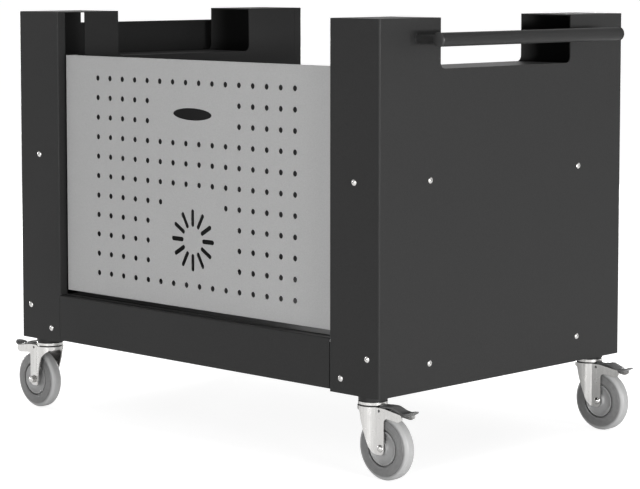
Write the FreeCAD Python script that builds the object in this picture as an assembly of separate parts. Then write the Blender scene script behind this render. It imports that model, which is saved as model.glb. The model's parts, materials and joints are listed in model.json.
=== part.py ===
import FreeCAD, Part

import math
import os

# Outdoor pizza oven table: two hollow side walls joined by a front and a rear rail, on four braked casters.
# +X is the handle side, -Y is the perforated front, z = 0 is the ground. Sizes are in millimetres.

# Body
body_width = 1008.0
body_depth = 696.0
wall_height = 672.0
post_width = 122.0
sheet = 2.0
bend_radius = 3.0
return_depth = 20.0
inner_front_setback = 72.0
inner_rear_gap = 0.5
notch_half_length = 187.0
notch_bottom = 580.0
notch_corner = 11.0
notch_floor_margin = 4.0

# Base channels, wall stiffeners and post ties
channel_height = 40.0
channel_sheet = 3.0
channel_end_gap = 0.3
corner_clearance = 1.2
channel_tab_width = 60.0
channel_tab_height = 90.0
stiffener_top = 400.0
stiffener_flange = 30.0
tie_width = 40.0
tie_height = 30.0

# Rails and bottom shelf
rail_bottom = 4.0
rail_top = 97.0
rail_flange = 30.0
rail_end_gap = 0.5
rail_tab_reach = 54.0
rail_tab_overlap = 12.0
rail_tab_margin = 8.0
rail_relief_gap = 0.6
floor_setback = 18.0
floor_lip = 38.0
floor_side_gap = 0.3
floor_lip_margin = 6.0

# Screws with domed heads
screw_radius = 2.9
screw_length = 16.0
screw_head_radius = 6.0
screw_head_height = 2.6
screw_clearance = 0.1
side_screw_inset = 134.0
side_screw_heights = (49.0, 381.0)
tie_screw_height = 382.0
channel_screw_inset = 29.0
channel_screw_height = 69.0
rail_screw_inset = 28.0
rail_screw_height = 27.0

# Flats and chords that stand in for full rounds on hidden and repeated pieces
pip_radius = 1.6
pip_height = 0.8
fold_chords = 1
cast_chords = 3
hole_sides = 6
screw_sides = 8
pin_sides = 12
tube_sides = 24
wheel_sides = 36

# Handle
handle_tube_radius = 12.5
handle_tube_wall = 1.5
handle_offset = 59.0
handle_drop = 37.0
handle_half_length = 258.0
handle_post_inset = 11.0
handle_post_radius = 8.0
handle_bolt_radius = 3.0
handle_bolt_length = 32.0
handle_bolt_clearance = 0.1
handle_bolt_head_radius = 5.5
handle_bolt_head_height = 4.0
cap_lip_radius = 13.3
cap_lip = 3.0
cap_plug = 14.0
cap_plug_clearance = 0.1

# Front panel
panel_side_gap = 5.0
panel_bottom = 108.0
panel_top = 585.0
panel_setback = 17.0
panel_sheet = 1.5
panel_bend_radius = 2.5
panel_side_rim = 30.0
panel_edge_rim = 12.0
panel_rim_gap = 4.0
hole_radius = 4.5
hole_pitch_x = 37.0
hole_pitch_z = 39.0
hole_columns = 16
hole_rows = 11
first_row_height = 542.0
grip_half_length = 54.5
grip_half_height = 11.75
grip_height = 482.0
vent_height = 240.0
vent_slots = 12
vent_inner_radius = 26.0
vent_outer_radius = 60.0
vent_slot_width = 9.0
vent_slot_nose = 2.5
wide_gap_rows = (1, 2, 7, 8, 9)
narrow_gap_rows = (6,)
hidden_columns_wide = 6
hidden_columns_narrow = 4

# Hooks of the front panel
stud_radius = 3.0
stud_reach = 6.0
stud_head_radius = 5.0
stud_head_height = 2.0
stud_inset = 30.0
stud_heights = (200.0, 500.0)
stud_clearance = 0.3
lift_travel = 12.0
hook_strip_depth = 46.0
hook_strip_bottom = 150.0
hook_strip_top = 560.0

# Side shelf, folded down
shelf_end_inset = 63.0
shelf_depth = 380.0
shelf_sheet = 2.0
shelf_rim = 16.0
shelf_wall_gap = 9.0
shelf_pivot_gap = 14.0
shelf_pivot_drop = 12.0
shelf_drop = 26.3
shelf_bend_radius = 3.0
pivot_radius = 4.0
pivot_clearance = 0.06
pivot_head_radius = 7.0
pivot_head_height = 3.0
pivot_inner_reach = 5.0
ear_sheet = 3.0
ear_gap = 1.0
ear_foot = 26.0
ear_half_height = 20.0
ear_nose_radius = 9.0
ear_corner = 6.5

# Casters
caster_height = 150.0
caster_side_inset = 46.0
caster_end_inset = 34.0
trail = 34.0
wheel_radius = 59.0
tyre_half_width = 13.5
tyre_side_radius = 50.5
tread_half_width = 8.5
hub_radius = 33.0
tyre_core_radius = 30.0
hub_gap = 0.4
axle_radius = 4.0
axle_clearance = 0.05
axle_head_width = 13.0
axle_head_height = 3.0
fork_inner_half_width = 15.5
fork_sheet = 2.5
fork_body_flats = 14
fork_body_radius = 28.0
fork_arm_reach = 92.0
fork_roof_end = 24.0
fork_crown_bottom = 129.0
neck_radius = 22.0
neck_height = 2.0
crown_radius = 26.5
race_gap = 0.3
race_height = 10.0
race_radius = 26.5
kingpin_radius = 6.0
kingpin_clearance = 0.06
kingpin_head_radius = 9.0
kingpin_head_height = 5.5
kingpin_above_nut = 4.0
kingpin_nut_width = 19.0
kingpin_nut_height = 10.0
pedal_pivot_x = 31.0
pedal_pivot_z = 126.0
pedal_pin_radius = 2.5
pedal_pin_clearance = 0.06
pedal_rivet_radius = 3.2
pedal_rivet_height = 1.2
pedal_rivet_gap = 0.3
pedal_half_width = 13.0
pedal_knuckle_radius = 4.0
pedal_shoe_gap = 8.5
pedal_shoe_start = 52.0
pedal_shoe_end = 64.0
pedal_shoe_top = 131.0
pedal_tip_flats = 6

# Derived places
outer_x = body_width / 2
inner_x = outer_x - post_width
skin_outer = outer_x - sheet
skin_inner = inner_x + sheet
face_y = body_depth / 2
base = caster_height
top = base + wall_height
caster_x = outer_x - caster_side_inset
caster_y = face_y - caster_end_inset
fork_outer = fork_inner_half_width + fork_sheet
crown_top = caster_height - race_height - race_gap
handle_x = outer_x + handle_offset
handle_z = top - handle_drop
handle_post_y = handle_half_length - handle_post_inset
side_screw_y = face_y - side_screw_inset
panel_half_width = inner_x - panel_side_gap
panel_face_y = face_y - panel_setback
stud_y = face_y - stud_inset
stiffener_y = side_screw_y - stiffener_flange / 2
channel_screw_x = outer_x - channel_screw_inset
rail_screw_x = inner_x + rail_screw_inset
shelf_half_length = face_y - shelf_end_inset
shelf_high = top - shelf_drop
shelf_outer = outer_x + shelf_wall_gap + shelf_rim + shelf_sheet
shelf_pivot_x = outer_x + shelf_pivot_gap
shelf_pivot_z = shelf_high - shelf_pivot_drop

# The brake pedal's outline: its plate from the nose above the fork to the curled tip
pedal_tip_x = 106.0
pedal_top_line = ((28.5, 135.5), (54.0, 136.0), (80.0, 127.0), (pedal_tip_x, 132.0))
pedal_bottom_line = ((pedal_tip_x, 128.0), (83.0, 122.0), (57.0, 131.5), (38.0, 131.5), (30.0, 122.5))
pedal_bottom_line += ((26.5, 126.0),)
pedal_radii = (0, 10.0, 14.0, 0, 0, 10.0, 8.0, 0, 0, 0)

# The fork's two cheeks, a wide and a narrow one: their corners from the skirt round the nose down the front
# edge, round the axle and back along the brake arm
fork_roof = fork_crown_bottom + fork_sheet
cheek_nose = ((-30.0, fork_roof), (-30.0, 125.0))
wide_front = ((-9.0, 124.0), (-3.5, 104.0), (12.0, 60.0), (20.0, 46.0))
narrow_front = ((-20.0, 124.0), (-4.0, 110.0), (9.0, 70.0), (18.0, 46.0))
cheek_foot = ((42.5, 46.0), (42.5, 115.0))
cheek_arm = ((77.0, 111.0), (87.0, 116.0), (84.0, 125.0), (42.0, fork_roof))
wide_radii = (0, 0, 5.0, 20.0, 12.0, 8.0, 9.0, 8.0, 9.0, 4.0, 4.0, 6.0)
narrow_radii = (0, 0, 5.0, 20.0, 30.0, 6.0, 9.0, 8.0, 9.0, 4.0, 4.0, 6.0)

# The origin lies below the middle of the whole outline, from the handle to the left brake pedals
right_reach = handle_x + cap_lip_radius
left_reach = caster_x + pedal_tip_x
middle_x = (right_reach - left_reach) / 2


def vec(x, y, z):
    return FreeCAD.Vector(x, y, z)


def box(low, high):
    size = [b - a for a, b in zip(low, high)]
    return Part.makeBox(size[0], size[1], size[2], vec(*low))


def rod(radius, start, end, sides=pin_sides):
    """A round bar or pin, kept light as a prism whose corners lie on the radius."""
    along = vec(*end) - vec(*start)
    step = 2 * math.pi / sides
    points = [vec(radius * math.cos(k * step), radius * math.sin(k * step), 0) for k in range(sides + 1)]
    bar = Part.Face(Part.makePolygon(points)).extrude(vec(0, 0, along.Length))
    bar.Placement = FreeCAD.Placement(vec(*start), FreeCAD.Rotation(vec(0, 0, 1), along))
    return bar


def centre_pip(start, direction):
    """The small round pip that turning leaves in the middle of a pin's end: it marks a pivot's true axis."""
    return Part.makeCylinder(pip_radius, pip_height, vec(*start), vec(*direction))


def bore(radius, start, end, sides=pin_sides):
    """The cutter for a round hole: its flats touch the radius, so a rod of that size turns in it."""
    return rod(radius / math.cos(math.pi / sides), start, end, sides)


def screw_hole(start, end):
    return bore(screw_radius + screw_clearance, start, end, hole_sides)


def turned(profile, sides, start, direction):
    """A turned piece with a set number of flats: profile is a closed outline of radius and height pairs."""
    step = 2 * math.pi / sides
    rings = [
        [vec(radius * math.cos(k * step), radius * math.sin(k * step), height) for k in range(sides + 1)]
        for radius, height in profile
    ]
    faces = []
    for low, high in zip(rings, rings[1:] + rings[:1]):
        for k in range(sides):
            corners = [low[k], low[k + 1], high[k + 1], high[k], low[k]]
            faces.append(Part.Face(Part.makePolygon(corners)))
    piece = Part.makeSolid(Part.makeShell(faces)).removeSplitter()
    piece.Placement = FreeCAD.Placement(vec(*start), FreeCAD.Rotation(vec(0, 0, 1), vec(*direction)))
    return piece


def hexagon(width, start, end):
    """A bolt head or nut blank of the given width across its flats."""
    return rod(width / math.sqrt(3), start, end, 6)


def corner_edges(first, centre, last, chords):
    """A rounded corner about its centre: a true arc, or a few chords of it on hidden and repeated pieces."""
    start = first - centre
    end = last - centre
    opening = start.getAngle(end)
    if not chords:
        middle = centre + (start + end).normalize() * start.Length
        return [Part.Arc(first, middle, last).toShape()]
    points = []
    for k in range(chords + 1):
        turn = opening * k / chords
        points.append(centre + (start * math.sin(opening - turn) + end * math.sin(turn)) / math.sin(opening))
    return [Part.LineSegment(a, b).toShape() for a, b in zip(points, points[1:])]


def corner_arc(before, corner, after, radius):
    """Where a rounded corner starts and ends, and its centre."""
    towards = (before - corner).normalize()
    onwards = (after - corner).normalize()
    opening = towards.getAngle(onwards)
    reach = radius / math.tan(opening / 2)
    centre = corner + (towards + onwards).normalize() * (radius / math.sin(opening / 2))
    return corner + towards * reach, centre, corner + onwards * reach


def bent_wire(points, radius, chords=0):
    """A path of straight runs joined by tangent bends of one radius."""
    corners = [vec(*p) for p in points]
    edges = []
    start = corners[0]
    for before, corner, after in zip(corners, corners[1:], corners[2:]):
        first, centre, last = corner_arc(before, corner, after, radius)
        edges.append(Part.LineSegment(start, first).toShape())
        edges += corner_edges(first, centre, last, chords)
        start = last
    edges.append(Part.LineSegment(start, corners[-1]).toShape())
    return Part.Wire(edges)


def folded_sheet(points, radius, thickness, along, chords=0):
    """A bent strip of sheet: points run along its outer side, thickness goes to the inside of the bends."""
    outside = bent_wire(points, radius, chords)
    corners = [vec(*p) for p in points]
    normal = vec(*along).normalize()
    first = (corners[1] - corners[0]).normalize()
    side = normal.cross(first)
    if side.dot(corners[2] - corners[1]) < 0:
        side = side * -1
    turn = 1 if normal.cross(first).dot(side) > 0 else -1
    inner = []
    for index, corner in enumerate(corners):
        before = (corner - corners[index - 1]).normalize() if index else first
        after = (corners[index + 1] - corner).normalize() if index + 1 < len(corners) else before
        left = normal.cross(before) * turn
        right = normal.cross(after) * turn
        inner.append(corner + (left + right) * (thickness / (1 + left.dot(right))))
    inside = bent_wire([tuple(p) for p in inner], radius - thickness, chords)
    ends = [
        Part.LineSegment(corners[0], inner[0]).toShape(),
        Part.LineSegment(corners[-1], inner[-1]).toShape(),
    ]
    outline = Part.Wire(Part.__sortEdges__(outside.Edges + inside.Edges + ends))
    return Part.Face(outline).extrude(vec(*along))


def rounded_outline(points, radii, chords=0):
    """A closed outline in any plane whose corners have their own radii; 0 leaves a corner sharp."""
    corners = [vec(*p) for p in points]
    count = len(corners)
    ends = []
    edges = []
    for index, corner in enumerate(corners):
        if radii[index] == 0:
            ends.append((corner, corner))
            continue
        after = corners[(index + 1) % count]
        first, centre, last = corner_arc(corners[index - 1], corner, after, radii[index])
        edges += corner_edges(first, centre, last, chords)
        ends.append((first, last))
    for index in range(count):
        start = ends[index][1]
        end = ends[(index + 1) % count][0]
        if (end - start).Length > 1e-6:
            edges.append(Part.LineSegment(start, end).toShape())
    return Part.Wire(Part.__sortEdges__(edges))


def mirrored_x(shape, side):
    return shape.mirror(vec(0, 0, 0), vec(1, 0, 0)) if side < 0 else shape


def mirrored_y(shape, end):
    return shape.mirror(vec(0, 0, 0), vec(0, 1, 0)) if end > 0 else shape


def notch_tool(low_x, high_x):
    """The notch in a wall's top edge, cut square to the wall."""
    half = notch_half_length
    low = base + notch_bottom
    high = top + sheet
    points = [(low_x, -half, high), (low_x, -half, low), (low_x, half, low), (low_x, half, high)]
    outline = rounded_outline(points, [0, notch_corner, notch_corner, 0])
    return Part.Face(outline).extrude(vec(high_x - low_x, 0, 0))


# Side boxes
def outer_shell(side):
    path = [
        (inner_x, -face_y + return_depth, base),
        (inner_x, -face_y, base),
        (outer_x, -face_y, base),
        (outer_x, face_y, base),
        (inner_x, face_y, base),
        (inner_x, face_y - return_depth, base),
    ]
    shell = folded_sheet(path, bend_radius, sheet, (0, 0, wall_height))
    corners = [(inner_x, -face_y), (outer_x, -face_y), (outer_x, face_y), (inner_x, face_y)]
    lid_outline = rounded_outline([(x, y, top - sheet) for x, y in corners], [bend_radius] * 4)
    lid = Part.Face(lid_outline).extrude(vec(0, 0, sheet))
    shell = shell.fuse(lid).removeSplitter()
    shell = shell.cut(notch_tool(inner_x - sheet, outer_x + sheet))
    for end in (-1, 1):
        rail_pass = box(
            (inner_x - sheet, -face_y + sheet, base - sheet),
            (skin_inner + bend_radius, -face_y + return_depth + sheet, base + rail_top + rail_end_gap),
        )
        shell = shell.cut(mirrored_y(rail_pass, end))
    for y, z in side_screw_places():
        shell = shell.cut(screw_hole((skin_outer - sheet, y, z), (outer_x + sheet, y, z)))
    for x, z in post_screw_places():
        shell = shell.cut(screw_hole((x, -face_y - sheet, z), (x, -face_y + 2 * sheet, z)))
        shell = shell.cut(screw_hole((x, face_y - 2 * sheet, z), (x, face_y + sheet, z)))
    if side > 0:
        for y in (-handle_post_y, handle_post_y):
            start = (skin_outer - sheet, y, handle_z)
            end = (outer_x + sheet, y, handle_z)
            shell = shell.cut(bore(handle_bolt_radius + handle_bolt_clearance, start, end))
    return mirrored_x(shell, side)


def inner_panel(side):
    front_y = -face_y + inner_front_setback
    rear_y = face_y - return_depth - inner_rear_gap
    skin = box((inner_x, front_y, base + rail_bottom), (skin_inner, rear_y, top - sheet))
    skin = skin.cut(notch_tool(inner_x - sheet, skin_inner + sheet))
    floor_half = notch_half_length - notch_corner - notch_floor_margin
    floor = box(
        (inner_x, -floor_half, base + notch_bottom - sheet),
        (skin_outer, floor_half, base + notch_bottom),
    )
    return mirrored_x(skin.fuse(floor).removeSplitter(), side)


def base_channel(side):
    end_y = face_y - sheet - channel_end_gap
    fold_y = face_y - sheet - corner_clearance
    path = [
        (skin_inner, -fold_y, base + channel_height),
        (skin_inner, -fold_y, base),
        (skin_outer, -fold_y, base),
        (skin_outer, -fold_y, base + channel_height),
    ]
    along = (0, 2 * fold_y, 0)
    channel = folded_sheet(path, channel_sheet + bend_radius, channel_sheet, along, fold_chords)
    half_tab = channel_tab_width / 2
    rail_relief = box(
        (skin_inner - 1, -end_y - 1, base + rail_bottom + rail_tab_margin - rail_relief_gap),
        (inner_x + rail_tab_reach, -face_y + 2 * sheet + rail_relief_gap, base + channel_height + 1),
    )
    for end in (-1, 1):
        channel = channel.cut(mirrored_y(rail_relief, end))
        tab = box(
            (channel_screw_x - half_tab, -end_y, base),
            (skin_outer - corner_clearance, -end_y + channel_sheet, base + channel_tab_height),
        )
        tab = tab.cut(screw_hole(
            (channel_screw_x, -face_y, base + channel_screw_height),
            (channel_screw_x, -end_y + 2 * channel_sheet, base + channel_screw_height),
        ))
        channel = channel.fuse(mirrored_y(tab, end))
        low = (caster_x, end * caster_y, base - 1)
        high = (caster_x, end * caster_y, base + channel_height)
        channel = channel.cut(bore(kingpin_radius + kingpin_clearance, low, high))
    return mirrored_x(channel.removeSplitter(), side)


def wall_stiffener(side, end):
    low = base + channel_height + 1
    path = [
        (skin_inner, -stiffener_y - stiffener_flange, low),
        (skin_inner, -stiffener_y, low),
        (skin_outer, -stiffener_y, low),
        (skin_outer, -stiffener_y - stiffener_flange, low),
    ]
    stiffener = folded_sheet(path, bend_radius, sheet, (0, 0, base + stiffener_top - low), fold_chords)
    for height in side_screw_heights:
        z = base + height
        y = -side_screw_y
        stiffener = stiffener.cut(screw_hole((skin_outer - 2 * sheet, y, z), (outer_x, y, z)))
    return mirrored_x(mirrored_y(stiffener, end), side)


def post_tie(side, end):
    middle = (inner_x + outer_x) / 2
    half = tie_width / 2
    start = -face_y + sheet
    stop = -stiffener_y - sheet
    roof = base + tie_screw_height + half
    path = [
        (middle - half, start, roof - tie_height),
        (middle - half, start, roof),
        (middle + half, start, roof),
        (middle + half, start, roof - tie_height),
    ]
    tie = folded_sheet(path, bend_radius, sheet, (0, stop - start, 0), fold_chords)
    tab = box((middle - half, start, roof - tie_width), (middle + half, start + sheet, roof - bend_radius))
    tie = tie.fuse(tab)
    z = base + tie_screw_height
    x = middle
    tie = tie.cut(screw_hole((x, start - 1, z), (x, start + 2 * sheet, z)))
    return mirrored_x(mirrored_y(tie.removeSplitter(), end), side)


def rail(end):
    half = inner_x - rail_end_gap
    path = [
        (-half, -face_y + rail_flange, base + rail_top),
        (-half, -face_y, base + rail_top),
        (-half, -face_y, base + rail_bottom),
        (-half, -face_y + rail_flange, base + rail_bottom),
    ]
    beam = folded_sheet(path, bend_radius, sheet, (2 * half, 0, 0))
    for side in (-1, 1):
        tab = box(
            (half - rail_tab_overlap, -face_y + sheet, base + rail_bottom + rail_tab_margin),
            (inner_x + rail_tab_reach, -face_y + 2 * sheet, base + rail_top - rail_tab_margin),
        )
        x = rail_screw_x
        z = base + rail_screw_height
        tab = tab.cut(screw_hole((x, -face_y, z), (x, -face_y + 3 * sheet, z)))
        beam = beam.fuse(mirrored_x(tab, side))
    return mirrored_y(beam.removeSplitter(), end)


def floor_shelf():
    half = inner_x - floor_side_gap
    end_y = face_y - floor_setback
    level = base + rail_top + sheet
    path = [
        (-half, -end_y, level - floor_lip),
        (-half, -end_y, level),
        (half, -end_y, level),
        (half, -end_y, level - floor_lip),
    ]
    tray = folded_sheet(path, bend_radius, sheet, (0, 2 * end_y, 0))
    clear_y = face_y - rail_flange - floor_lip_margin
    for end in (-1, 1):
        relief = box((-half - 1, -end_y - 1, level - floor_lip - 1), (half + 1, -clear_y, level - sheet))
        tray = tray.cut(mirrored_y(relief, end))
    return tray


# Screws
def side_screw_places():
    return [(y, base + z) for y in (-side_screw_y, side_screw_y) for z in side_screw_heights]


def post_screw_places():
    return [
        ((inner_x + outer_x) / 2, base + tie_screw_height),
        (channel_screw_x, base + channel_screw_height),
        (rail_screw_x, base + rail_screw_height),
    ]


def domed_screw(place, outwards):
    """A low-headed thread-forming screw whose head sits on place and points outwards."""
    outer = vec(*place) + vec(*outwards) * screw_head_height
    inner = vec(*place) - vec(*outwards) * screw_length
    head = rod(screw_head_radius, place, tuple(outer), screw_sides)
    return head.fuse(rod(screw_radius, place, tuple(inner), hole_sides))


def side_wall_screws():
    screws = []
    for side in (-1, 1):
        for y, z in side_screw_places():
            screws.append(domed_screw((side * outer_x, y, z), (side, 0, 0)))
    return Part.makeCompound(screws)


def post_screws():
    screws = []
    for side in (-1, 1):
        for end in (-1, 1):
            for x, z in post_screw_places():
                screws.append(domed_screw((side * x, end * face_y, z), (0, end, 0)))
    return Part.makeCompound(screws)


# Handle on the right wall
def handle():
    """The grip tube with its two welded stand-offs."""
    z = handle_z
    low = (handle_x, -handle_half_length, z)
    high = (handle_x, handle_half_length, z)
    grip = rod(handle_tube_radius, low, high, tube_sides)
    for y in (-handle_post_y, handle_post_y):
        grip = grip.fuse(rod(handle_post_radius, (outer_x, y, z), (handle_x, y, z)))
    grip = grip.cut(rod(handle_tube_radius - handle_tube_wall, low, high, tube_sides))
    for y in (-handle_post_y, handle_post_y):
        seat = (outer_x - 1, y, z)
        stop = (outer_x + handle_bolt_length, y, z)
        grip = grip.cut(bore(handle_bolt_radius + handle_bolt_clearance, seat, stop))
    return grip


def handle_end_cap(end):
    """A plug in the tube's end with a lip that covers the rim."""
    z = handle_z
    inner_end = (handle_x, end * (handle_half_length - cap_plug), z)
    seat = (handle_x, end * handle_half_length, z)
    outer_end = (handle_x, end * (handle_half_length + cap_lip), z)
    plug = rod(handle_tube_radius - handle_tube_wall - cap_plug_clearance, inner_end, seat, tube_sides)
    return plug.fuse(rod(cap_lip_radius, seat, outer_end, tube_sides))


def handle_bolts():
    bolts = []
    z = handle_z
    for y in (-handle_post_y, handle_post_y):
        shank = rod(handle_bolt_radius, (skin_outer, y, z), (outer_x + handle_bolt_length - sheet, y, z))
        head = rod(handle_bolt_head_radius, (skin_outer - handle_bolt_head_height, y, z), (skin_outer, y, z))
        bolts.append(shank.fuse(head))
    return Part.makeCompound(bolts)


# Front panel, hung on studs
def shown_columns(row):
    """Which hole columns a row keeps: the middle ones give way to the finger slot and the round vent."""
    hidden = 0
    if row in wide_gap_rows:
        hidden = hidden_columns_wide
    if row in narrow_gap_rows:
        hidden = hidden_columns_narrow
    low = (hole_columns - hidden) / 2
    return [column for column in range(hole_columns) if not low <= column < low + hidden]


def panel_holes():
    holes = []
    start = -panel_face_y - 1
    stop = -panel_face_y + panel_sheet + 1
    for row in range(hole_rows):
        z = base + first_row_height - row * hole_pitch_z
        for column in shown_columns(row):
            x = (column - (hole_columns - 1) / 2) * hole_pitch_x
            holes.append(rod(hole_radius, (x, start, z), (x, stop, z), hole_sides))
    return holes


def finger_slot():
    centre = vec(0, -panel_face_y - 1, base + grip_height)
    oval = Part.Ellipse(
        centre + vec(grip_half_length, 0, 0),
        centre + vec(0, 0, grip_half_height),
        centre,
    )
    return Part.Face(Part.Wire([oval.toShape()])).extrude(vec(0, panel_sheet + 2, 0))


def vent_slot(turn):
    """One radial slot with chamfered ends."""
    start = -panel_face_y - 1
    z = base + vent_height
    half = vent_slot_width / 2
    nose = half - vent_slot_nose
    profile = [(half, vent_inner_radius + vent_slot_nose), (half, vent_outer_radius - vent_slot_nose)]
    profile += [(nose, vent_outer_radius), (-nose, vent_outer_radius)]
    profile += [(-half, vent_outer_radius - vent_slot_nose), (-half, vent_inner_radius + vent_slot_nose)]
    profile += [(-nose, vent_inner_radius), (nose, vent_inner_radius)]
    points = [vec(x, start, z + r) for x, r in profile]
    slot = Part.Face(Part.makePolygon(points + points[:1])).extrude(vec(0, panel_sheet + 2, 0))
    slot.rotate(vec(0, 0, z), vec(0, 1, 0), turn)
    return slot


def hook_slot(side, height):
    """The bent slot in a side rim: in from the rear, then up to where the stud carries the panel."""
    width = stud_radius + stud_clearance
    x = side * panel_half_width
    z = base + height
    reach = 2 * panel_sheet
    upright = box(
        (x - reach, -stud_y - width, z - lift_travel - width),
        (x + reach, -stud_y + width, z + width),
    )
    mouth = box(
        (x - reach, -stud_y - width, z - lift_travel - width),
        (x + reach, -panel_face_y + panel_side_rim + 1, z - lift_travel + width),
    )
    return upright.fuse(mouth)


def front_panel():
    low = base + panel_bottom
    high = base + panel_top
    path = [
        (-panel_half_width, -panel_face_y + panel_side_rim, low),
        (-panel_half_width, -panel_face_y, low),
        (panel_half_width, -panel_face_y, low),
        (panel_half_width, -panel_face_y + panel_side_rim, low),
    ]
    panel = folded_sheet(path, panel_bend_radius, panel_sheet, (0, 0, high - low))
    rim_end = panel_half_width - panel_rim_gap
    for z in (low, high - panel_sheet):
        rim = box((-rim_end, -panel_face_y, z), (rim_end, -panel_face_y + panel_edge_rim, z + panel_sheet))
        panel = panel.fuse(rim)
    cutters = panel_holes() + [finger_slot()]
    cutters += [vent_slot(k * 360 / vent_slots) for k in range(vent_slots)]
    cutters += [hook_slot(side, height) for side in (-1, 1) for height in stud_heights]
    return panel.removeSplitter().cut(Part.makeCompound(cutters))


def hook_strip(side):
    start = -face_y + sheet + corner_clearance
    strip = box(
        (skin_inner, start, base + hook_strip_bottom),
        (skin_inner + sheet, start + hook_strip_depth, base + hook_strip_top),
    )
    for height in stud_heights:
        z = base + height
        hole_start = (skin_inner - 1, -stud_y, z)
        strip = strip.cut(bore(stud_radius, hole_start, (skin_inner + 2 * sheet, -stud_y, z)))
    return mirrored_x(strip, side)


def panel_studs():
    studs = []
    rim_inside = panel_half_width - panel_sheet
    for side in (-1, 1):
        for height in stud_heights:
            z = base + height
            shank = rod(stud_radius, (rim_inside - stud_reach, -stud_y, z), (skin_inner + sheet, -stud_y, z))
            tip_end = rim_inside - stud_reach
            tip = rod(stud_head_radius, (tip_end, -stud_y, z), (tip_end + stud_head_height, -stud_y, z))
            studs.append(mirrored_x(shank.fuse(tip), side))
    return Part.makeCompound(studs)


# Side shelf on the left wall, folded down
def side_shelf():
    face = -shelf_outer
    low = shelf_high - shelf_depth
    high = shelf_high
    half = shelf_half_length
    inner_edge = face + shelf_sheet + shelf_rim
    path = [(inner_edge, -half, low), (face, -half, low), (face, half, low), (inner_edge, half, low)]
    tray = folded_sheet(path, shelf_bend_radius, shelf_sheet, (0, 0, shelf_depth))
    for z in (low, high - shelf_sheet):
        rim_half = half - shelf_bend_radius
        rim = box((face, -rim_half, z), (inner_edge, rim_half, z + shelf_sheet))
        tray = tray.fuse(rim)
    axis_start = (-shelf_pivot_x, -half - 1, shelf_pivot_z)
    axis_end = (-shelf_pivot_x, half + 1, shelf_pivot_z)
    return tray.removeSplitter().cut(bore(pivot_radius + pivot_clearance, axis_start, axis_end))


def shelf_bracket(end):
    """A wall foot with an ear that holds the pivot pin."""
    ear_y = shelf_half_length + ear_gap
    foot = box(
        (-outer_x - ear_sheet, ear_y, shelf_pivot_z - ear_half_height),
        (-outer_x, ear_y + ear_foot, shelf_pivot_z + ear_half_height - ear_nose_radius),
    )
    x_far = -shelf_pivot_x - ear_nose_radius
    points = [
        (-outer_x, ear_y, shelf_pivot_z - ear_half_height),
        (x_far, ear_y, shelf_pivot_z - ear_nose_radius),
        (x_far, ear_y, shelf_pivot_z + ear_nose_radius),
        (-outer_x, ear_y, shelf_pivot_z + ear_nose_radius),
    ]
    ear = Part.Face(rounded_outline(points, [0, ear_corner, ear_corner, 0]))
    ear = ear.extrude(vec(0, ear_sheet, 0))
    bracket = foot.fuse(ear).removeSplitter()
    bore_start = (-shelf_pivot_x, ear_y - 1, shelf_pivot_z)
    bore_end = (-shelf_pivot_x, ear_y + ear_sheet + 1, shelf_pivot_z)
    bracket = bracket.cut(bore(pivot_radius, bore_start, bore_end))
    return mirrored_y(bracket, -end)


def shelf_pivot_pins():
    pins = []
    for end in (-1, 1):
        inner = shelf_half_length - shelf_sheet - pivot_inner_reach
        outer = shelf_half_length + ear_gap + ear_sheet
        start = (-shelf_pivot_x, end * inner, shelf_pivot_z)
        seat = (-shelf_pivot_x, end * outer, shelf_pivot_z)
        stop = (-shelf_pivot_x, end * (outer + pivot_head_height), shelf_pivot_z)
        head = rod(pivot_head_radius, seat, stop).fuse(centre_pip(stop, (0, end, 0)))
        pins.append(rod(pivot_radius, start, seat).fuse(head))
    return Part.makeCompound(pins)


# Casters, built about the swivel axis at x = y = 0 with the wheel trailing towards +X
def place_caster(shape, corner_x, corner_y):
    moved = shape.copy()
    if corner_x < 0:
        moved.rotate(vec(0, 0, 0), vec(0, 0, 1), 180)
    moved.translate(vec(corner_x * caster_x, corner_y * caster_y, 0))
    return moved


def all_corners(shape):
    return Part.makeCompound([place_caster(shape, x, y) for x in (-1, 1) for y in (-1, 1)])


def kingpin_bore():
    return bore(kingpin_radius + kingpin_clearance, (0, 0, 0), (0, 0, base + channel_height))


def caster_races():
    """The fixed upper halves of the swivel bearings, painted like the walls, one under each corner."""
    low = caster_height - race_height
    race = rod(race_radius, (0, 0, low), (0, 0, caster_height), tube_sides).cut(kingpin_bore())
    return all_corners(race)


def fork_plan(half_width, radius, end_x, z):
    """A keyhole outline open towards +X: a round body about the king pin, in flats, then straight cheeks."""
    opening = math.asin(half_width / radius)
    step = 2 * (math.pi - opening) / fork_body_flats
    points = [(end_x, -half_width, z)]
    for k in range(fork_body_flats + 1):
        angle = -opening - k * step
        points.append((radius * math.cos(angle), radius * math.sin(angle), z))
    points.append((end_x, half_width, z))
    return points


def cheek_half(front, radii, side):
    """The cutter that trims the wall on one side of the middle to its cheek's outline."""
    points = [(x, 0, z) for x, z in cheek_nose + front + cheek_foot + cheek_arm]
    outline = rounded_outline(points, radii, cast_chords)
    return Part.Face(outline).extrude(vec(0, side * (fork_body_radius + 1), 0))


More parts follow.
